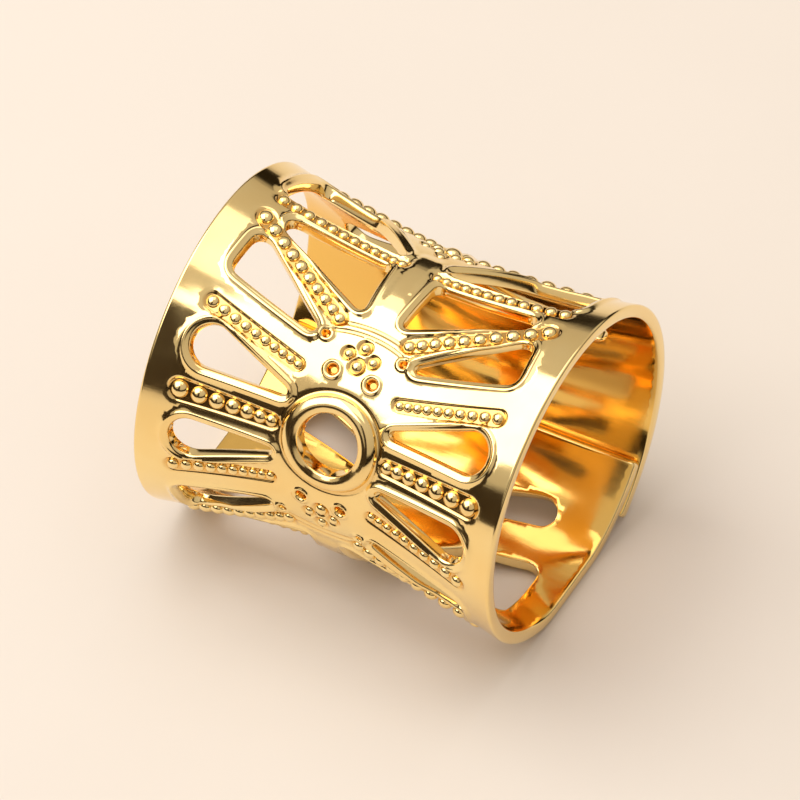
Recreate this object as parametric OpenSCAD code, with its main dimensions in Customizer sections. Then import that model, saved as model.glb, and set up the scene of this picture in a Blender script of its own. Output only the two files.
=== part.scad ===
// Hair cuff bead: one thin sheet with an openwork pattern, rolled into a short waisted tube
// that is open at both ends and overlaps itself at the back.
// Millimetres, +Z up. The cuff lies on its side: its axis runs along X, its front is at -Y.

/* [Sheet] */
// Length of the tube, rim to rim
length = 10; // [9.5:0.25:11]
// Outer radius of the sheet at the waist
waist_r = 3.95; // [3.8:0.05:4.2]
// How much wider the radius is at the rims
flare = 0.55; // [0.4:0.05:0.7]
// Thickness of the sheet
sheet = 0.35; // [0.3:0.05:0.4]
// Half width of the straight band at the waist
waist_half = 0.5; // [0.4:0.1:0.6]
// Width of the straight lip at each rim
lip = 0.5; // [0.4:0.1:0.6]

/* [Rest] */
// Depth of the flat that the cuff lies on, under the two rims
flat_depth = 0.18; // [0.15:0.01:0.2]
// Angle of the ring flower, from straight down round towards the front
ring_angle = 118; // [114:1:120]

/* [Seam] */
// Angle from the ring flower to the mean line of the outer, wavy end
outer_end = 202; // [200:1:203]
// Angle from the ring flower to the inner end, the other way round
inner_end = 168; // [167:1:171]
// Number of waves along the outer end
waves = 5; // [4:1:6]
// Height of a wave, from its mean line
wave_height = 0.35; // [0.2:0.05:0.4]

/* [Ring flower] */
// Radius of the round hole
ring_hole_r = 0.82; // [0.7:0.02:0.9]
// Outer radius of the raised ring
ring_r = 1.25; // [1.15:0.05:1.3]
// Rise of the ring over the sheet
ring_rise = 0.15; // [0.1:0.05:0.2]

/* [Hidden] */
$fn = 48;

half_len = length / 2;
rim_r = waist_r + flare;
hollow_r = waist_r - sheet;

// The outer turn is rolled about a centre one sheet back from where it leaves the inner turn.
turn_start = 86;
turn_dir = [-sin(ring_angle + turn_start), -cos(ring_angle + turn_start)];
turn_shift = [0, -sheet * turn_dir[0], -sheet * turn_dir[1]];

// The axis stands over the floor by the rim less the flat, and the box is centred over the origin.
axis_z = rim_r - flat_depth;
axis_y = (rim_r - (turn_shift[1] + rim_r + sheet)) / 2;

// Millimetres along the sheet for one degree round it, halfway up the flare
mm_per_deg = (waist_r + flare / 4) * PI / 180;

// Stations of the flare, from the waist band to the lip
STEPS = [0, 0.2, 0.4, 0.6, 0.8, 1];
flare_len = half_len - lip - waist_half;
function half_profile(extra) = [
    for (u = STEPS) [waist_r + flare * pow(u, 1.7) + extra, waist_half + u * flare_len]
];
function turned(rows) = [for (i = [len(rows) - 1 : -1 : 0]) [rows[i][0], -rows[i][1]]];

// Openings in the sheet. CIRCLES has X along the axis (mm), ANGLE from the ring flower (deg)
// and R (mm). A chain joins each circle to the next, and a patch goes round all of them
// counterclockwise. Each row is cut four times: to both sides of the waist and to both sides
// of the ring flower.
SHAPE = 0;
CIRCLES = 1;
X = 0;
ANGLE = 1;
R = 2;
OPENINGS = [
    ["chain", [[1.56, 12, 0.13], [3.6, 17.3, 0.55]]],
    ["patch", [[1.5, 37.5, 0.13], [3.72, 47.2, 0.28], [3.65, 57.6, 0.28]]],
    ["patch", [[0.66, 52, 0.12], [3.2, 71, 0.28], [0.85, 73, 0.2]]],
    ["patch", [[0.78, 85.5, 0.15], [3.85, 88.3, 0.3], [3.8, 113.5, 0.3], [2.4, 107, 0.3]]],
    ["chain", [[0.62, 124.5, 0.18], [1.85, 132.5, 0.33], [3.3, 139, 0.4]]],
];

// The straight sides run a little inside the tangents, so that they cross the circles.
side_share = 0.97;

// The solid inside the sheet's outer face, when EXTRA is added to its radius
module bulk(extra, over) {
    rows = half_profile(extra);
    far = half_len + over;
    rotate([0, 90, 0])
        rotate_extrude()
            polygon(concat(
                [[0, -far], [rim_r + extra, -far]],
                turned(rows),
                rows,
                [[rim_r + extra, far], [0, far]]
            ));
}

// A pie slice along the axis, from angle A to angle B round from the ring flower
module slice(a, b) {
    steps = ceil((b - a) / 40);
    rotate([90, 0, 90])
        linear_extrude(length + 4, center = true)
            polygon(concat([[0, 0]], [
                for (i = [0 : steps])
                    let (phi = ring_angle + a + (b - a) * i / steps)
                        [-9 * sin(phi), -9 * cos(phi)]
            ]));
}

// Puts its child on the sheet at an angle from the ring flower, with local Z pointing out
module at_angle(angle) {
    rotate([180 - ring_angle - angle, 0, 0])
        children();
}

// End points of the side from circle A to circle B, on the right of that way
function side(a, b) =
    let (d = [b[0] - a[0], b[1] - a[1]])
    let (l = norm(d))
    let (s = (a[2] - b[2]) / l)
    let (c = sqrt(1 - s * s))
    let (n = side_share * [c * d[1] + s * d[0], s * d[1] - c * d[0]] / l)
    [[a[0], a[1]] + a[2] * n, [b[0], b[1]] + b[2] * n];

// A straight-sided area that joins circles [x, y, r]
module joined(circles) {
    count = len(circles);
    polygon([
        for (i = [0 : count - 1])
            for (p = side(circles[i], circles[(i + 1) % count])) p
    ]);
}

// A straight cutter through the sheet for one row of the table, local X along the axis
module cutter(shape, circles) {
    translate([0, 0, 2]) {
        if (shape == "patch")
            linear_extrude(5)
                joined(circles);
        else
            for (i = [0 : len(circles) - 2])
                linear_extrude(5)
                    joined([circles[i], circles[i + 1]]);
        for (c = circles)
            translate([c[0], c[1], 0])
                cylinder(h = 5, r = c[2]);
    }
}

module opening(row) {
    list = row[CIRCLES];
    mid = (list[0][ANGLE] + list[len(list) - 1][ANGLE]) / 2;
    circles = [for (c = list) [c[X], (c[ANGLE] - mid) * mm_per_deg, c[R]]];
    for (sx = [0, 1])
        for (st = [0, 1])
            mirror([sx, 0, 0])
                at_angle(st == 0 ? mid : -mid)
                    mirror([0, st, 0])
                        cutter(row[SHAPE], circles);
}

// The room beyond the wavy end of the outer turn
module beyond_outer_end() {
    per_wave = 8;
    count = waves * per_wave;
    step = length / count;
    at_angle(outer_end)
        translate([0, 0, 1])
            linear_extrude(6)
                polygon(concat(
                    [[half_len + 1, 4], [-half_len - 1, 4], [-half_len - 1, wave_height]],
                    [
                        for (i = [0 : count])
                            [-half_len + i * step, wave_height * cos(360 * i / per_wave)]
                    ],
                    [[half_len + 1, wave_height]]
                ));
}

// The inner turn, still solid inside
module inner_turn() {
    intersection() {
        bulk(0, 0);
        slice(-inner_end, turn_start);
    }
}

// The outer turn, hollowed up to the inner end and lying on the inner turn after it
module outer_turn() {
    difference() {
        intersection() {
            translate(turn_shift)
                bulk(sheet, 0);
            slice(turn_start, outer_end + 10);
        }
        intersection() {
            translate(turn_shift)
                bulk(0, 1);
            slice(turn_start - 1, 360 - inner_end);
        }
        beyond_outer_end();
    }
}

// The hollow that the hair goes through, raised over the flat
module hollow() {
    intersection() {
        bulk(-sheet, 1);
        translate([-half_len - 2, -6, sheet - axis_z])
            cube([length + 4, 12, 12]);
    }
}

module cuff() {
    color([0.93, 0.74, 0.35])
        translate([0, axis_y, axis_z])
            difference() {
                intersection() {
                    union() {
                        inner_turn();
                        outer_turn();
                        at_angle(0)
                            cylinder(h = waist_r + ring_rise, r = ring_r);
                    }
                    translate([-half_len - 1, -6, -axis_z])
                        cube([length + 2, 12, 12]);
                }
                hollow();
                at_angle(0)
                    cylinder(h = 6, r = ring_hole_r);
                for (row = OPENINGS)
                    opening(row);
            }
}

cuff();
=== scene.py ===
import math

import bpy
import numpy as np
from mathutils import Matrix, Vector, kdtree
from mathutils.geometry import delaunay_2d_cdt


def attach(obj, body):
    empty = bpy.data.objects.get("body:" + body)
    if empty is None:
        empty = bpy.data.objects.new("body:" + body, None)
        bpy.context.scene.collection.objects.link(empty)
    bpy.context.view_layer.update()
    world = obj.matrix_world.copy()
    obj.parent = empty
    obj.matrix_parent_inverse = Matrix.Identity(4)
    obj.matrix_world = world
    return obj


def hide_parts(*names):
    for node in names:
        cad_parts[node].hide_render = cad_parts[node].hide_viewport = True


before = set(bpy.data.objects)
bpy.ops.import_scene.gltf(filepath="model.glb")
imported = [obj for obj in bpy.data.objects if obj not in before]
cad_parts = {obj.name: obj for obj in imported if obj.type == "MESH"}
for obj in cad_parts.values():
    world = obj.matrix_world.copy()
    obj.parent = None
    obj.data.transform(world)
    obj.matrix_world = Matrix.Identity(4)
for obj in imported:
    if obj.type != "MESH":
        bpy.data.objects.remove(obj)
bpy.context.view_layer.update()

# One millimetre in metres. All lengths below are in millimetres.
MM = 0.001

# The sheet. X runs along the cuff, and S along the sheet round it, from the ring flower. The
# radius grows from the band at the waist to the rims.
HALF_LENGTH = 5.0
WAIST_R = 3.95
WAIST_HALF = 0.5
FLARE = 0.55
FLARE_POWER = 1.7
RIM_R = WAIST_R + FLARE
SHEET = 0.35

# Length along the sheet of one degree round it, halfway up the flare
MM_PER_DEG = (WAIST_R + FLARE / 4) * math.pi / 180

# The ring flower's angle, from straight down round to the front
RING_ANGLE = 118.0

# The flat that the cuff lies on, how softly it begins, and the largest power in that easing
FLAT_DEPTH = 0.18
FLAT_EASE = 0.05
MAX_POWER = 50

# The sheet's ends and the start of its outer turn, in degrees from the ring flower. The outer
# turn is rolled about a centre one sheet back from where it leaves the inner turn.
TURN_START = 86.0
OUTER_END = 202.0
INNER_END = -168.0
TURN_PHI = math.radians(RING_ANGLE + TURN_START)
TURN_Y = SHEET * math.sin(TURN_PHI)
TURN_Z = SHEET * math.cos(TURN_PHI)

# Place of the cuff's axis
AXIS_Y = -(TURN_Y + SHEET) / 2
AXIS_Z = RIM_R - FLAT_DEPTH

# Waves of the outer end
WAVES = 5
WAVE_HEIGHT = 0.35

# The pattern is cut and stamped alike to both sides of the waist and of the ring flower.
WAYS = [(sx, st) for sx in (1, -1) for st in (1, -1)]

# Rounding of the sheet's edges, on the outer and the inner face
OUTER_ROUND = 0.085
INNER_ROUND = 0.06
ROUND_STEPS = 3

# How far the corners of outlines are eased, and the spacing of their points
OPENING_EASE = 0.07
OUTLINE_EASE = 0.08
FINE_STEP = 0.02
LOOP_STEP = 0.055
OUTLINE_STEP = 0.08
MIN_LOOP_POINTS = 12

# Points of an arc, of a stroke, of a row of pearls and of the wavy end, before they are respaced
ARC_STEPS = 16
STROKE_STEPS = 40
ROW_STEPS = 200
WAVE_STEPS = 400

# Spacing of the even grids on the two faces, and the bare strip along their borders
GRID_STEP = 0.105
OUTER_MARGIN = 0.03
INNER_GRID_STEP = 0.16
INNER_MARGIN = 0.056

# Ring flower
RING_HOLE_R = 0.82
RING_CREST_R = 1.04
RING_HALF_WIDTH = 0.27
RING_FOOT_R = RING_CREST_R + RING_HALF_WIDTH
RING_RISE = 0.2
RING_STEPS = 96

# Openings, each cut to both sides of the waist and of the ring flower. A ribbon is a rounded
# stroke through its circles, and a patch goes round all of them. Columns: x, angle, radius.
OPENINGS = {
    "inner_petal": ("ribbon", [(1.56, 12, 0.13), (3.6, 17.3, 0.55)]),
    "outer_petal": ("patch", [(1.5, 37.5, 0.13), (3.72, 47.2, 0.28), (3.65, 57.6, 0.28)]),
    "wedge": ("patch", [(0.66, 52, 0.12), (3.2, 71, 0.28), (0.85, 73, 0.2)]),
    "leaf": ("patch", [(0.78, 85.5, 0.15), (3.85, 88.3, 0.3), (3.8, 113.5, 0.3), (2.4, 107, 0.3)]),
    "banana": ("ribbon", [(0.62, 124.5, 0.18), (1.85, 132.5, 0.33), (3.3, 139, 0.4)]),
}

# Rows of pearls, each set to both sides. Columns: points (x, angle), first and last radius.
PEARL_ROWS = [
    ([(1.62, 0), (4.05, 0)], 0.17, 0.24),
    ([(1.42, 22.8), (4.0, 31.5)], 0.13, 0.17),
    ([(0.98, 44.3), (3.98, 68.5)], 0.17, 0.21),
    ([(0.5, 79), (3.95, 80.5)], 0.13, 0.17),
    ([(0.75, 110.5), (2.1, 115.5), (3.75, 125)], 0.2, 0.25),
    ([(3.95, 130.5), (4.2, 137)], 0.13, 0.11),
]

# Single pearls, each set to both sides. Columns: x, angle, radius.
PEARLS = [
    (0, 30, 0.17),
    (0.34, 33.5, 0.13),
    (0, 37.5, 0.14),
    (0, 106.5, 0.25),
    (0.43, 106.5, 0.17),
    (0.24, 101.3, 0.16),
    (0.24, 111.7, 0.16),
    (0, 95.5, 0.13),
    (0.62, 101.5, 0.13),
]

# Pitch of the pearls over their diameter, and the share of its radius that a pearl fills
PEARL_PITCH = 1.04
PEARL_FIT = 0.97

# A pearl is a dome, lower than a ball, that starts a little under the floor of its channel.
PEARL_HEIGHT = 0.75
PEARL_START = -0.35
PEARL_AROUND = 20
PEARL_UP = 7

# Small pits beside the ring flower's petals. Columns: x, angle, radius.
PITS = [(0.55, 26, 0.15), (1.08, 37, 0.1)]
PIT_DEPTH = 0.17
PIT_LIP_RISE = 0.045
PIT_LIP_AWAY = 0.06
PIT_LIP_WIDTH = 0.05
PIT_FLOOR_SHARE = 0.55

# Channels under the rows of pearls, and the wires round the openings
CHANNEL_DEPTH = 0.06
CHANNEL_EDGE = 0.11
WIRE_RISE = 0.055
WIRE_AWAY = 0.165
WIRE_WIDTH = 0.065
WIRE_CLEAR = 0.1
WIRED = ("inner_petal", "outer_petal", "wedge", "leaf")

# The band round the waist: where it begins and ends (degrees), and its top's and foot's half widths
BAND_RISE = 0.06
BAND_BEGINS = (48, 54)
BAND_ENDS = (86, 92)
BAND_HALF = (0.2, 0.42)

# Two grooves beyond each curved opening, between their limits along X, and the wire round it
GROOVE_DEPTH = 0.05
GROOVE_AWAY = (0.33, 0.53)
GROOVE_WIDTH = 0.045
GROOVE_FROM_ANGLE = 124
GROOVE_SLANT = 6
GROOVE_SLANT_X = 0.3
GROOVE_SOFT = 3
GROOVE_BEGINS = (0.75, 1.0)
GROOVE_ENDS = (3.6, 3.9)
BANANA_WIRE_RISE = 0.045
BANANA_WIRE_AWAY = 0.14
BANANA_WIRE_WIDTH = 0.06

# The pointed fold between the curved openings: its first degree and how many it spans, its
# rise, its half width at the ends and what the middle has on top of that, and its curves
FOLD_ANGLE = 112
FOLD_SPAN = 30
FOLD_RISE = 0.17
FOLD_HALF = (0.15, 0.57)
FOLD_SWELL = 1.5
FOLD_SIDE = 1.2

# Two fine arcs round the ring flower, from some degrees beside it to some way along X
ARC_RADII = (2.98, 3.2)
ARC_DEPTH = 0.045
ARC_WIDTH = 0.05
ARC_BEGINS = (14, 22)
ARC_ENDS_X = (0.9, 1.25)

# The ring's rounded section, and the moat at its foot
RING_SECTION = 0.75
RING_CLEAR = 0.12
MOAT_DEPTH = 0.03
MOAT_AWAY = 0.06
MOAT_WIDTH = 0.07

# Rows of mesh points along the relief, as distances from its edges
OPENING_GUIDES = (0.125, 0.165, 0.205, 0.25)
GROOVE_GUIDES = (0.29, 0.33, 0.37, 0.41, 0.45, 0.49, 0.53, 0.57, 0.61)
CHANNEL_GUIDES = (0.0, 0.055, 0.11)
PEARL_GUIDES = (0.12, 0.09, 0.06, 0.03, 0.0)
PIT_GUIDE_FIRST = 0.15
PIT_GUIDE_STEP = 0.032

# Radii of the rows along the two arcs, and how far along X they go
ARC_GUIDE_RADII = (2.98, 3.2, 2.93, 3.03, 3.15, 3.25, 2.88, 3.09, 3.3)
ARC_GUIDE_X = 1.3

# Rows of the ring: their first distance from the hole's rounded edge, their end past the foot
RING_GUIDE_FIRST = 0.035
RING_GUIDE_END = 0.2
RING_GUIDE_POINTS = 120

# Every twelfth point of a channel's middle line is enough for the rows round it.
CHANNEL_POINTS = 61
CHANNEL_STRIDE = 12
CHANNEL_EASE = 0.05

# Spacing along the rows, and their least distance from the points of earlier rows
RING_MESH = (0.045, 0.02)
PIT_MESH = (0.045, 0.022)
PEARL_MESH = (0.055, 0.026)
ARC_MESH = (0.06, 0.032)
OPENING_MESH = (0.075, 0.034)
GROOVE_MESH = (0.07, 0.032)
CHANNEL_MESH = (0.075, 0.036)
GRID_GAP = 0.07


def smooth(value, low, high):
    """0 below LOW, 1 above HIGH and a soft step between them."""
    t = np.clip((value - low) / (high - low), 0, 1)
    return t * t * (3 - 2 * t)


def bump(value, centre, width):
    return np.exp(-(((value - centre) / width) ** 2))


def wall_radius(x):
    """Outer radius of the sheet, which flares from the waist to the rims."""
    u = np.clip((np.abs(x) - WAIST_HALF) / (HALF_LENGTH - WAIST_HALF), 0, 1)
    return WAIST_R + FLARE * u**FLARE_POWER


def place(x, s, out):
    """Points of the rolled sheet in millimetres. OUT is the height over its outer face."""
    angle = s / MM_PER_DEG
    phi = np.radians(RING_ANGLE + angle)
    outer = angle > TURN_START
    radius = wall_radius(x) + out + np.where(outer, SHEET, 0)
    y = AXIS_Y + np.where(outer, TURN_Y, 0) - radius * np.sin(phi)
    z = AXIS_Z + np.where(outer, TURN_Z, 0) - radius * np.cos(phi)
    face_z = z + out * np.cos(phi)
    power = np.clip(face_z / FLAT_EASE, -MAX_POWER, MAX_POWER)
    pressed = FLAT_EASE * np.log1p(np.exp(power))
    z = np.where(face_z < MAX_POWER * FLAT_EASE, z + pressed - face_z, z)
    return np.stack([x, y, np.maximum(z, 0)], axis=-1)


def run_along(points):
    """The way from the first point to each point of a line."""
    return np.concatenate([[0], np.cumsum(np.linalg.norm(np.diff(points, axis=0), axis=1))])


def resampled(points, step):
    """A closed loop with even steps."""
    closed = np.vstack([points, points[:1]])
    run = run_along(closed)
    count = max(MIN_LOOP_POINTS, int(round(run[-1] / step)))
    at = np.arange(count) / count * run[-1]
    return np.stack([np.interp(at, run, closed[:, k]) for k in (0, 1)], axis=1)


def softened(points, sigma, step):
    """A closed loop with its corners eased over SIGMA, then set to even steps."""
    fine = resampled(points, FINE_STEP)
    reach = int(3 * sigma / FINE_STEP)
    shifts = np.arange(-reach, reach + 1)
    weight = np.exp(-0.5 * (shifts * FINE_STEP / sigma) ** 2)
    weight /= weight.sum()
    eased = sum(w * np.roll(fine, k, axis=0) for k, w in zip(shifts, weight))
    return resampled(eased, step)


def counterclockwise(points):
    x, y = points[:, 0], points[:, 1]
    area = np.sum(x * np.roll(y, -1) - y * np.roll(x, -1))
    return points if area > 0 else points[::-1]


def through(rows, count):
    """COUNT points on one smooth curve through two or three rows, column by column."""
    rows = np.array(rows, float)
    run = run_along(rows[:, :2])
    t = np.linspace(0, run[-1], count)
    columns = [np.polyval(np.polyfit(run, column, len(rows) - 1), t) for column in rows.T]
    return np.stack(columns, axis=1)


def arc(centre, radius, start, turn, steps):
    w = start + turn * np.linspace(0, 1, steps)
    return np.stack([centre[0] + radius * np.cos(w), centre[1] + radius * np.sin(w)], axis=1)


def round_loop(radius, count, start=0, centre=(0, 0)):
    """COUNT points round a whole circle."""
    return arc(centre, radius, start, 2 * math.pi, count + 1)[:-1]


def ribbon_loop(rows):
    """The outline of a stroke whose half width is the rows' radius."""
    line = through(rows, STROKE_STEPS) if len(rows) < 4 else rows
    along = np.gradient(line[:, :2], axis=0)
    along /= np.linalg.norm(along, axis=1)[:, None]
    left = np.stack([-along[:, 1], along[:, 0]], axis=1) * line[:, 2:]
    first = math.atan2(-along[0][1], -along[0][0]) - math.pi / 2
    last = math.atan2(along[-1][1], along[-1][0]) - math.pi / 2
    return np.vstack([
        line[:, :2] - left,
        arc(line[-1], line[-1][2], last, math.pi, ARC_STEPS),
        (line[:, :2] + left)[::-1],
        arc(line[0], line[0][2], first, math.pi, ARC_STEPS),
    ])


def patch_loop(rows):
    """The outline round circles that are given counterclockwise."""
    def normal(a, b):
        d = np.array([b[0] - a[0], b[1] - a[1]])
        length = np.linalg.norm(d)
        turned = math.atan2(-d[0], d[1])
        return turned + math.asin((a[2] - b[2]) / length)

    corners = []
    for i, b in enumerate(rows):
        start = normal(rows[i - 1], b)
        turn = (normal(b, rows[(i + 1) % len(rows)]) - start) % (2 * math.pi)
        corners.append(arc(b, b[2], start, turn, ARC_STEPS))
    return np.vstack(corners)


def on_sheet(rows):
    """Rows with their angle turned into millimetres along the sheet."""
    return [(row[0], row[1] * MM_PER_DEG, *row[2:]) for row in rows]


def make_holes():
    """The outlines of all openings, counterclockwise, by the name of their kind."""
    holes = {}
    for kind, (form, rows) in OPENINGS.items():
        draw = ribbon_loop if form == "ribbon" else patch_loop
        loop = softened(draw(on_sheet(rows)), OPENING_EASE, LOOP_STEP)
        holes[kind] = [counterclockwise(loop * np.array(way)) for way in WAYS]
    holes["ring"] = [round_loop(RING_HOLE_R, RING_STEPS)]
    return holes


def make_outline():
    """The outline of the flat sheet, counterclockwise, with its wavy outer end."""
    s_in = INNER_END * MM_PER_DEG
    x = np.linspace(HALF_LENGTH, -HALF_LENGTH, WAVE_STEPS)
    phase = 2 * math.pi * WAVES * (x + HALF_LENGTH) / (2 * HALF_LENGTH)
    wave = np.stack([x, OUTER_END * MM_PER_DEG + WAVE_HEIGHT * np.cos(phase)], axis=1)
    corners = np.array([[-HALF_LENGTH, s_in], [HALF_LENGTH, s_in]])
    return softened(np.vstack([corners, wave]), OUTLINE_EASE, OUTLINE_STEP)


def spread(row):
    """Pearls (x, s, radius) that almost touch along one row."""
    points, first, last = row
    line = through(on_sheet([(*p, 0) for p in points]), ROW_STEPS)
    run = run_along(line[:, :2])
    total = run[-1]
    count = max(2, int(round(total / (first + last) / PEARL_PITCH)) + 1)
    made = []
    for k in range(count):
        share = k / (count - 1)
        at = total * share * (1 + (last / first - 1) * share) / (last / first)
        x, s = (np.interp(at, run, line[:, c]) for c in (0, 1))
        made.append((x, s, first + (last - first) * share))
    return made


def channel_rows():
    """The middle line of each pearl row as points (x, s, radius)."""
    rows = []
    for points, first, last in PEARL_ROWS:
        radii = np.linspace(first, last, len(points))
        line = [(*p, r) for p, r in zip(on_sheet(points), radii)]
        rows.append(through(line, CHANNEL_POINTS))
    return rows


def all_ways(items):
    """Items (x, s, ...) mirrored to both sides of the waist and of the ring, each place once."""
    made = {}
    for sx, st in WAYS:
        for item in items:
            x, s = sx * item[0], st * item[1]
            made[round(x, 4) + 0.0, round(s, 4) + 0.0] = (x, s, *item[2:])
    return list(made.values())


def tree_of(points):
    tree = kdtree.KDTree(len(points))
    for i, p in enumerate(points):
        tree.insert((p[0], p[1], 0), i)
    tree.balance()
    return tree


def lines_of(rows, closed):
    """Lines as one set of points, the numbers of each point's two neighbours, and a search tree."""
    before, after, base = [], [], 0
    for row in rows:
        n = len(row)
        i = np.arange(n)
        before.append(base + ((i - 1) % n if closed else np.maximum(i - 1, 0)))
        after.append(base + ((i + 1) % n if closed else np.minimum(i + 1, n - 1)))
        base += n
    points = np.vstack(rows)
    return points, (np.concatenate(before), np.concatenate(after)), tree_of(points)


def distance(lines, x, s):
    """Distance from each place to the nearest line, less the line's radius if its points have one."""
    points, sides, tree = lines
    at = np.array([tree.find((a, b, 0))[1] for a, b in zip(x, s)])
    here = np.stack([x, s], axis=1)
    best = np.full(len(here), np.inf)
    for side in sides:
        a, b = points[at], points[side[at]]
        run = (b - a)[:, :2]
        t = np.sum((here - a[:, :2]) * run, axis=1) / np.maximum(np.sum(run * run, axis=1), 1e-12)
        spot = a + np.clip(t, 0, 1)[:, None] * (b - a)
        away = np.linalg.norm(here - spot[:, :2], axis=1)
        best = np.minimum(best, away - spot[:, 2] if spot.shape[1] > 2 else away)
    return best


holes = make_holes()
outline = make_outline()
single_pearls = all_ways(on_sheet(PEARLS))
pearls = all_ways([p for row in PEARL_ROWS for p in spread(row)] + on_sheet(PEARLS))
pits = all_ways(on_sheet(PITS))
wired = lines_of([loop for kind in WIRED for loop in holes[kind]], True)
bananas = lines_of(holes["banana"], True)
channels = lines_of([row * np.array([*way, 1]) for row in channel_rows() for way in WAYS], False)


def relief(x, s):
    """Height of the stamped pattern over the plain sheet, in millimetres."""
    ax, angle = np.abs(x), np.abs(s) / MM_PER_DEG
    from_ring = np.hypot(x, s)
    h = np.zeros_like(x)

    # A channel under each row of pearls, and a fine wire round each straight-sided opening
    from_row = distance(channels, x, s)
    for px, ps, pr in single_pearls:
        from_row = np.minimum(from_row, np.hypot(x - px, s - ps) - pr)
    h -= CHANNEL_DEPTH * (1 - smooth(from_row, 0.0, CHANNEL_EDGE))
    wire = bump(distance(wired, x, s), WIRE_AWAY, WIRE_WIDTH)
    h += WIRE_RISE * wire * smooth(from_row, 0.0, WIRE_CLEAR)

    # The band round the waist, between the wedges and the leaves
    band = smooth(angle, *BAND_BEGINS) * (1 - smooth(angle, *BAND_ENDS))
    h += BAND_RISE * band * (1 - smooth(ax, *BAND_HALF))

    # Two grooves beyond each curved opening, and the wire round it
    from_banana = distance(bananas, x, s)
    slanted = angle - GROOVE_FROM_ANGLE - GROOVE_SLANT * (ax - GROOVE_SLANT_X)
    beyond = smooth(slanted, 0, GROOVE_SOFT)
    beyond = beyond * smooth(ax, *GROOVE_BEGINS) * (1 - smooth(ax, *GROOVE_ENDS))
    h -= GROOVE_DEPTH * beyond * sum(bump(from_banana, away, GROOVE_WIDTH) for away in GROOVE_AWAY)
    h += BANANA_WIRE_RISE * bump(from_banana, BANANA_WIRE_AWAY, BANANA_WIRE_WIDTH)

    # The fold between the two curved openings, widest halfway
    swell = np.sin(math.pi * np.clip((angle - FOLD_ANGLE) / FOLD_SPAN, 0, 1))
    half = FOLD_HALF[0] + FOLD_HALF[1] * swell
    h += FOLD_RISE * swell**FOLD_SWELL * np.clip(1 - ax / half, 0, 1) ** FOLD_SIDE

    # Two arcs round the ring flower, between the outer petals
    fan = smooth(angle, *ARC_BEGINS) * (1 - smooth(ax, *ARC_ENDS_X))
    h -= ARC_DEPTH * fan * sum(bump(from_ring, r, ARC_WIDTH) for r in ARC_RADII)

    # Pits with a raised lip
    for px, ps, pr in pits:
        from_pit = np.hypot(x - px, s - ps)
        h += PIT_LIP_RISE * bump(from_pit, pr + PIT_LIP_AWAY, PIT_LIP_WIDTH)
        h -= PIT_DEPTH * (1 - smooth(from_pit, pr * PIT_FLOOR_SHARE, pr))

    # The ring itself, in place of anything under it, with a moat at its foot
    crest = np.clip(1 - ((from_ring - RING_CREST_R) / RING_HALF_WIDTH) ** 2, 0, 1) ** RING_SECTION
    clear = smooth(from_ring, RING_FOOT_R, RING_FOOT_R + RING_CLEAR)
    moat = bump(from_ring, RING_FOOT_R + MOAT_AWAY, MOAT_WIDTH)
    return h * clear + RING_RISE * crest - MOAT_DEPTH * moat


def inside(loop, points):
    """Which points lie inside a closed loop."""
    low, high = loop.min(axis=0), loop.max(axis=0)
    near = np.all((points > low) & (points < high), axis=1)
    result = np.zeros(len(points), bool)
    p = points[near]
    a, b = loop, np.roll(loop, -1, axis=0)
    hit = np.zeros(len(p), bool)
    for (ax, ay), (bx, by) in zip(a, b):
        if ay != by:
            spans = (ay > p[:, 1]) != (by > p[:, 1])
            hit ^= spans & (p[:, 0] < (bx - ax) * (p[:, 1] - ay) / (by - ay) + ax)
    result[near] = hit
    return result


def offset(loop, away):
    """A counterclockwise loop moved outward by AWAY."""
    along = np.roll(loop, -1, axis=0) - np.roll(loop, 1, axis=0)
    along /= np.linalg.norm(along, axis=1)[:, None]
    return loop + away * np.stack([along[:, 1], -along[:, 0]], axis=1)


def hex_grid(step):
    """Points of even triangles over the whole flat sheet."""
    s_low, s_high = outline[:, 1].min(), outline[:, 1].max()
    rows = []
    for k, s in enumerate(np.arange(s_low, s_high, step * math.sqrt(3) / 2)):
        x = np.arange(-HALF_LENGTH + step * (0.5 if k % 2 else 0.25), HALF_LENGTH, step)
        rows.append(np.stack([x, np.full_like(x, s)], axis=1))
    return np.vstack(rows)


def polar_grid(low, high, step, count):
    """Circles of COUNT points round the ring, each turned half a point against the last."""
    radii = enumerate(np.arange(low, high, step))
    return np.vstack([round_loop(r, count, math.pi / count * (k % 2)) for k, r in radii])


def circle(centre, radius, step):
    """A circle whose points are about STEP apart."""
    return round_loop(radius, max(6, int(round(2 * math.pi * radius / step))), centre=centre)


def thinned(groups):
    """The groups' points in order, without those closer than their group's gap to an earlier one."""
    cell = 0.1
    around = [(a, b) for a in (-1, 0, 1) for b in (-1, 0, 1)]
    kept, cells = [], {}
    for points, gap in groups:
        for x, s in points:
            i, j = int(x // cell), int(s // cell)
            near = (q for a, b in around for q in cells.get((i + a, j + b), ()))
            if all((q[0] - x) ** 2 + (q[1] - s) ** 2 > gap * gap for q in near):
                kept.append((x, s))
                cells.setdefault((i, j), []).append((x, s))
    return np.array(kept)


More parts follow.
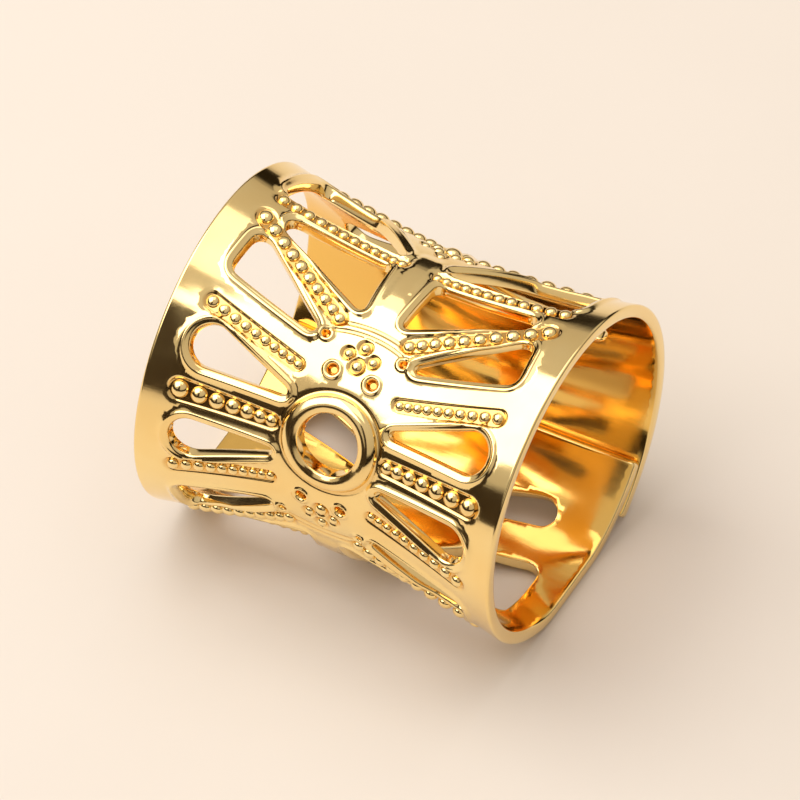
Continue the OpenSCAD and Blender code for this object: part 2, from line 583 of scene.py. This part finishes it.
def guide_points():
    """Points of the outer face: rows along each edge of the relief, then an even grid."""
    ring_start = RING_HOLE_R + OUTER_ROUND + RING_GUIDE_FIRST
    ring_end = RING_FOOT_R + RING_GUIDE_END
    ring_points = polar_grid(ring_start, ring_end, RING_MESH[0], RING_GUIDE_POINTS)
    groups = [(ring_points, RING_MESH[1])]

    def add(loop, mesh):
        groups.append((loop, mesh[1]))

    for px, ps, pr in pits:
        for r in np.arange(pr + PIT_GUIDE_FIRST, 0.01, -PIT_GUIDE_STEP):
            add(circle((px, ps), r, PIT_MESH[0]), PIT_MESH)
    for px, ps, pr in single_pearls:
        for away in PEARL_GUIDES:
            add(circle((px, ps), pr + away, PEARL_MESH[0]), PEARL_MESH)
    for r in ARC_GUIDE_RADII:
        row = circle((0, 0), r, ARC_MESH[0])
        add(row[np.abs(row[:, 0]) < ARC_GUIDE_X], ARC_MESH)
    for away in OPENING_GUIDES:
        for kind in OPENINGS:
            for loop in holes[kind]:
                add(resampled(offset(loop, away), OPENING_MESH[0]), OPENING_MESH)
    for away in GROOVE_GUIDES:
        for loop in holes["banana"]:
            add(resampled(offset(loop, away), GROOVE_MESH[0]), GROOVE_MESH)
    for row in channel_rows():
        for away in CHANNEL_GUIDES:
            wider = row + np.array([0, 0, away])
            loop = ribbon_loop(wider[::CHANNEL_STRIDE])
            loop = softened(loop, CHANNEL_EASE, CHANNEL_MESH[0])
            for way in WAYS:
                add(loop * np.array(way), CHANNEL_MESH)
    groups.append((hex_grid(GRID_STEP), GRID_GAP))

    # The ring's own points come first, and no other point stays among them.
    points = thinned(groups)
    among = np.hypot(points[:, 0], points[:, 1]) < ring_end - RING_MESH[1]
    among[: len(ring_points)] = False
    return points[~among]


def triangulated(rim, loops, extra, margin):
    """Points and triangles of the area inside RIM and outside LOOPS, the borders' points first.
    EXTRA points closer to a border than MARGIN are left out."""
    edge = np.vstack([rim, *loops])
    edges = lines_of([rim, *loops], True)
    keep = inside(rim, extra)
    for loop in loops:
        keep &= ~inside(loop, extra)
    extra = extra[keep]
    extra = extra[distance(edges, extra[:, 0], extra[:, 1]) > margin]
    points = np.vstack([edge, extra])
    sides, base = [], 0
    for loop in [rim, *loops]:
        n = len(loop)
        sides += [(base + i, base + (i + 1) % n) for i in range(n)]
        base += n
    made = delaunay_2d_cdt([Vector(p) for p in points], sides, [], 0, 1e-7, True)
    corners = np.array([v[:] for v in made[0]])
    if len(corners) != len(points):
        raise ValueError("the flat pattern has points that fall together")
    own = np.array([ids[0] for ids in made[3]])
    faces = own[np.array(made[2])]
    middle = points[faces].mean(axis=1)
    keep = inside(rim, middle)
    for loop in loops:
        keep &= ~inside(loop, middle)
    faces = faces[keep]
    a, b, c = (points[faces[:, k]] for k in range(3))
    turn = (b[:, 0] - a[:, 0]) * (c[:, 1] - a[:, 1]) - (b[:, 1] - a[:, 1]) * (c[:, 0] - a[:, 0])
    faces[turn < 0] = faces[turn < 0][:, ::-1]
    return points, faces


def rounding(radius):
    """Steps (offset, drop) of a rounded edge, from the face to the wall."""
    turn = np.linspace(0, math.pi / 2, ROUND_STEPS + 1)
    return [(radius * (1 - math.sin(w)), radius * (1 - math.cos(w))) for w in turn]


def face_normals(x, s):
    """Unit normals of the outer face with its relief."""
    step = 0.004

    def at(dx, ds):
        return place(x + dx, s + ds, relief(x + dx, s + ds))

    normals = np.cross(at(step, 0) - at(-step, 0), at(0, step) - at(0, -step))
    return normals / np.linalg.norm(normals, axis=1)[:, None]


def build_sheet():
    """Vertices in millimetres, faces, the outer face's normals, and two values for each vertex:
    the height of its relief, and whether it is on the inner face."""
    loops = [loop for kind in holes for loop in holes[kind]]
    borders = [(outline, -1)] + [(loop, 1) for loop in loops]
    verts, lift, faces = [], [], []
    count = 0

    def add(points, heights):
        nonlocal count
        verts.append(points)
        lift.append(heights)
        first = count
        count += len(points)
        return first

    def face_of(radius, extra, margin):
        rings = [offset(loop, way * radius) for loop, way in borders]
        points, tris = triangulated(rings[0], rings[1:], extra, margin)
        return rings, points, tris

    # Outer face
    rings, points, tris = face_of(OUTER_ROUND, guide_points(), OUTER_MARGIN)
    h = relief(points[:, 0], points[:, 1])
    top = add(place(points[:, 0], points[:, 1], h), h)
    faces.append(tris + top)
    sizes = [len(ring) for ring in rings]
    edge_heights = np.split(h[: sum(sizes)], np.cumsum(sizes)[:-1])

    # Inner face
    _, in_points, in_tris = face_of(INNER_ROUND, hex_grid(INNER_GRID_STEP), INNER_MARGIN)
    level = np.zeros(len(in_points))
    low = add(place(in_points[:, 0], in_points[:, 1], level - SHEET), level)
    faces.append(in_tris[:, ::-1] + low)

    # Rounded edges and the wall between them
    start = 0
    for (loop, way), heights in zip(borders, edge_heights):
        n = len(loop)
        level = np.zeros(n)
        rows = [top + start + np.arange(n)]
        for away, drop in rounding(OUTER_ROUND)[1:]:
            p = offset(loop, way * away)
            rows.append(add(place(p[:, 0], p[:, 1], heights - drop), level) + np.arange(n))
        for away, drop in rounding(INNER_ROUND)[:0:-1]:
            p = offset(loop, way * away)
            rows.append(add(place(p[:, 0], p[:, 1], level + drop - SHEET), level) + np.arange(n))
        rows.append(low + start + np.arange(n))
        for a, b in zip(rows, rows[1:]):
            a2, b2 = np.roll(a, -1), np.roll(b, -1)
            quad = np.stack([a, b, b2, a2], axis=1)
            faces.append(quad if way < 0 else quad[:, ::-1])
        start += n
    within = np.zeros(count)
    within[low : low + len(in_points)] = 1
    normals = np.zeros((count, 3))
    normals[top : top + len(points)] = face_normals(points[:, 0], points[:, 1])
    return np.vstack(verts), faces, normals, {"relief": np.concatenate(lift), "within": within}


def mesh_object(name, verts, face_groups, material, normals=None, attributes=None):
    """A smooth mesh from vertices in millimetres and groups of faces. Where a normal is zero,
    Blender's own is used."""
    mesh = bpy.data.meshes.new(name)
    faces = [tuple(int(i) for i in f) for group in face_groups for f in group]
    mesh.from_pydata([tuple(v) for v in verts * MM], [], faces)
    mesh.polygons.foreach_set("use_smooth", [True] * len(mesh.polygons))
    for key, values in (attributes or {}).items():
        layer = mesh.attributes.new(key, "FLOAT", "POINT")
        layer.data.foreach_set("value", values.astype(np.float32))
    mesh.materials.append(material)
    mesh.update()
    if normals is not None:
        mesh.normals_split_custom_set_from_vertices(normals.tolist())
    obj = bpy.data.objects.new(name, mesh)
    bpy.context.collection.objects.link(obj)
    return obj


def build_pearls():
    """All pearls as one mesh of domes that stand in their channels."""
    around, up = PEARL_AROUND, PEARL_UP
    verts, quads = [], []
    lift = np.linspace(PEARL_START, math.pi / 2, up + 1)
    unit = [
        (math.cos(e) * math.cos(w), math.cos(e) * math.sin(w), math.sin(e))
        for e in lift[:-1]
        for w in np.linspace(0, 2 * math.pi, around, endpoint=False)
    ] + [(0, 0, 1)]
    unit = np.array(unit)
    x, s, r = (np.array([p[k] for p in pearls]) for k in range(3))
    step = 0.02
    base = place(x, s, np.full_like(x, -CHANNEL_DEPTH))
    dx = place(x + step, s, np.zeros_like(x)) - place(x - step, s, np.zeros_like(x))
    ds = place(x, s + step, np.zeros_like(x)) - place(x, s - step, np.zeros_like(x))
    tris = []
    for k in range(len(pearls)):
        u = dx[k] / np.linalg.norm(dx[k])
        v = ds[k] / np.linalg.norm(ds[k])
        n = np.cross(u, v)
        n /= np.linalg.norm(n)
        first = len(unit) * k
        size = r[k] * PEARL_FIT
        dome = unit[:, :1] * u + unit[:, 1:2] * v + unit[:, 2:] * n * PEARL_HEIGHT
        verts.append(base[k] + size * dome)
        tip = first + up * around
        for j in range(up):
            for i in range(around):
                a, b = first + j * around + i, first + j * around + (i + 1) % around
                if j < up - 1:
                    quads.append((a, a + around, b + around, b))
                else:
                    tris.append((a, tip, b))
    verts = np.vstack(verts)
    verts[:, 2] = np.maximum(verts[:, 2], 0)
    return verts, [quads, tris]


def node(tree, kind, at, **values):
    made = tree.nodes.new(kind)
    made.location = at
    for name, value in values.items():
        setattr(made, name, value)
    return made


def noise(tree, at, vector, scale, detail):
    """A noise texture's factor."""
    made = node(tree, "ShaderNodeTexNoise", at)
    made.inputs["Scale"].default_value = scale
    made.inputs["Detail"].default_value = detail
    tree.links.new(vector, made.inputs["Vector"])
    return made.outputs["Fac"]


def toned(tree, at, factor, dark, light, limits=(0, 1)):
    """A colour that goes from DARK to LIGHT between the factor's LIMITS."""
    made = node(tree, "ShaderNodeValToRGB", at)
    for stop, limit, tone in zip(made.color_ramp.elements, limits, (dark, light)):
        stop.position = limit
        stop.color = (*tone, 1)
    tree.links.new(factor, made.inputs["Fac"])
    return made.outputs["Color"]


def tinted(tree, at, factor, colour, tone):
    """COLOUR, turned into TONE as the factor goes from 0 to 1."""
    made = node(tree, "ShaderNodeMix", at, data_type="RGBA")
    made.inputs["B"].default_value = (*tone, 1)
    tree.links.new(factor, made.inputs["Factor"])
    tree.links.new(colour, made.inputs["A"])
    return made.outputs["Result"]


def mapped(tree, at, value, limits, results):
    """A value's LIMITS turned into RESULTS."""
    made = node(tree, "ShaderNodeMapRange", at)
    names = ("From Min", "From Max", "To Min", "To Max")
    for name, number in zip(names, (*limits, *results)):
        made.inputs[name].default_value = number
    tree.links.new(value, made.inputs["Value"])
    return made.outputs["Result"]


def bumped(tree, at, height, strength):
    """A bump node for heights of a hundredth of a millimetre."""
    made = node(tree, "ShaderNodeBump", at)
    made.inputs["Strength"].default_value = strength
    made.inputs["Distance"].default_value = 0.01 * MM
    tree.links.new(height, made.inputs["Height"])
    return made


def new_material(name):
    """A material with its node tree, its shader and object coordinates."""
    material = bpy.data.materials.new(name)
    material.use_nodes = True
    tree = material.node_tree
    coords = node(tree, "ShaderNodeTexCoord", (-1200, 0))
    return material, tree, tree.nodes["Principled BSDF"], coords.outputs["Object"]


def gold_material():
    """Polished gold plating with slight colour drift, painted shade in the hollows and on the inner
    face, soft wear and fine scratches.
    """
    material, tree, shader, coords = new_material("polished_gold")
    link = tree.links.new
    shader.inputs["Metallic"].default_value = 1.0

    # Two golds that drift into each other, with painted shade: browner in the channels and other
    # hollows, and amber on the inner face
    drift = noise(tree, (-1000, 250), coords, scale=450, detail=3)
    colour = toned(tree, (-800, 250), drift, (0.95, 0.69, 0.29), (0.98, 0.77, 0.37), (0.35, 0.7))
    # Painted shade: the gold turns browner where the relief sinks below the plain sheet, fully so
    # 0.08 mm down
    height = node(tree, "ShaderNodeAttribute", (-1000, 500), attribute_name="relief")
    painted_recess_shade = mapped(tree, (-800, 500), height.outputs["Fac"], (0, -0.08), (0, 1))
    colour = tinted(tree, (-550, 300), painted_recess_shade, colour, (0.78, 0.42, 0.1))
    # Painted shade: the whole inner face is tinted a deeper amber, standing in for the gold's
    # reflections inside the cuff
    within = node(tree, "ShaderNodeAttribute", (-550, 600), attribute_name="within")
    colour = tinted(tree, (-300, 300), within.outputs["Fac"], colour, (0.93, 0.58, 0.15))
    link(colour, shader.inputs["Base Color"])

    # Patches that are a little less polished
    wear = noise(tree, (-1000, -50), coords, scale=900, detail=5)
    rough = mapped(tree, (-800, -50), wear, (0.3, 0.75), (0.07, 0.17))
    link(rough, shader.inputs["Roughness"])

    # A soft unevenness of the sheet, and fine scratches over it
    uneven = noise(tree, (-1000, -350), coords, scale=1400, detail=2)
    soft = bumped(tree, (-500, -350), uneven, 0.25)
    stretch = node(tree, "ShaderNodeMapping", (-1000, -600))
    stretch.inputs["Scale"].default_value = (700, 9000, 9000)
    stretch.inputs["Rotation"].default_value = (0.4, 0.2, 0.5)
    link(coords, stretch.inputs["Vector"])
    lines = noise(tree, (-800, -600), stretch.outputs["Vector"], scale=1, detail=1)
    scratched = bumped(tree, (-300, -500), lines, 0.08)
    link(soft.outputs["Normal"], scratched.inputs["Normal"])
    link(scratched.outputs["Normal"], shader.inputs["Normal"])
    return material


def matt_material(name, roughness, scale, detail, dark, light):
    """A matt surface whose colour is faintly mottled."""
    material, tree, shader, coords = new_material(name)
    shader.inputs["Roughness"].default_value = roughness
    mottle = noise(tree, (-700, 0), coords, scale, detail)
    tree.links.new(toned(tree, (-450, 0), mottle, dark, light), shader.inputs["Base Color"])
    return material


def build_floor():
    """A pale, warm table top."""
    side = 600.0
    corners = np.array([[-side, -side, 0], [side, -side, 0], [side, side, 0], [-side, side, 0]])
    material = matt_material("pale_table", 0.6, 120, 6, (0.735, 0.665, 0.59), (0.765, 0.695, 0.62))
    floor = mesh_object("floor", corners, [[(0, 1, 2, 3)]], material)


def face_cuff(name, data, azimuth, elevation, away):
    """Adds a light or a camera that faces the cuff from a direction, AWAY in millimetres."""
    made = bpy.data.objects.new(name, data)
    a, e = math.radians(azimuth), math.radians(elevation)
    back = Vector((math.sin(a) * math.cos(e), -math.cos(a) * math.cos(e), math.sin(e)))
    made.location = Vector((0, 0, AXIS_Z * MM)) + back * away * MM
    made.rotation_euler = (-back).to_track_quat("-Z", "Y").to_euler()
    bpy.context.collection.objects.link(made)
    return made


def area_light(name, azimuth, elevation, away, size, power, colour):
    """A soft light whose SIZE is its width and height in millimetres."""
    data = bpy.data.lights.new(name, "AREA")
    data.shape = "RECTANGLE"
    data.size, data.size_y = size[0] * MM, size[1] * MM
    data.energy = power
    data.color = colour
    face_cuff(name, data, azimuth, elevation, away)


def build_world():
    """A bright room that is dark up to a little over the horizon."""
    world = bpy.data.worlds.new("room")
    bpy.context.scene.world = world
    world.use_nodes = True
    tree = world.node_tree
    coords = node(tree, "ShaderNodeTexCoord", (-900, 0))
    split = node(tree, "ShaderNodeSeparateXYZ", (-700, 0))
    tree.links.new(coords.outputs["Generated"], split.inputs["Vector"])
    shade = node(tree, "ShaderNodeValToRGB", (-500, 0))
    ramp = shade.color_ramp
    ramp.elements[0].position = 0.22
    ramp.elements[0].color = (0.02, 0.014, 0.008, 1)
    ramp.elements[1].position = 0.9
    ramp.elements[1].color = (0.75, 0.68, 0.62, 1)
    middle = ramp.elements.new(0.32)
    middle.color = (0.6, 0.54, 0.47, 1)
    tree.links.new(split.outputs["Z"], shade.inputs["Fac"])
    tree.links.new(shade.outputs["Color"], tree.nodes["Background"].inputs["Color"])
    tree.nodes["Background"].inputs["Strength"].default_value = 0.92


def build_dark_card():
    """A dark card round the front of the cuff, seen in its polish only."""
    steps = 60
    radius = 60.0
    degrees = np.linspace(-100, 12, steps)

    # It is low all the way, and rises at its +X end, which the left rim mirrors.
    rise = smooth(degrees, -12, -3)
    foot, top = 1.0 + 7.0 * rise, 24.0 + 72.0 * rise
    azimuth = np.radians(degrees)
    x, y = radius * np.sin(azimuth), -radius * np.cos(azimuth)
    verts = np.vstack([np.stack([x, y, height], axis=1) for height in (foot, top)])
    quads = [(i, i + 1, steps + i + 1, steps + i) for i in range(steps - 1)]
    material = matt_material("dark_card", 0.9, 300, 2, (0.02, 0.015, 0.01), (0.06, 0.04, 0.02))
    card = mesh_object("dark_card", verts, [quads], material)
    card.visible_camera = False
    card.visible_diffuse = False
    card.visible_shadow = False


def build_camera():
    """The photograph's viewing angle, through a long lens."""
    data = bpy.data.cameras.new("camera")
    data.lens = 727
    data.clip_start = 0.001
    data.clip_end = 10
    bpy.context.scene.camera = face_cuff("camera", data, azimuth=29, elevation=48, away=400.0)


build_camera()
gold = gold_material()
sheet_verts, sheet_faces, sheet_normals, sheet_marks = build_sheet()
sheet = mesh_object("cuff_sheet", sheet_verts, sheet_faces, gold, sheet_normals, sheet_marks)
pearl_verts, pearl_faces = build_pearls()
pearl_piece = mesh_object("cuff_pearls", pearl_verts, pearl_faces, gold)
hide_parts("cuff")
for piece in (sheet, pearl_piece):
    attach(piece, "root")

build_floor()
build_world()
build_dark_card()
area_light(
    "front_softbox", azimuth=-65, elevation=56, away=160, size=(190, 145),
    power=0.215, colour=(1.0, 0.99, 0.97),
)
area_light(
    "top_softbox", azimuth=200, elevation=75, away=140, size=(120, 120),
    power=0.05, colour=(1.0, 0.97, 0.93),
)
bpy.context.scene.view_settings.view_transform = "Standard"
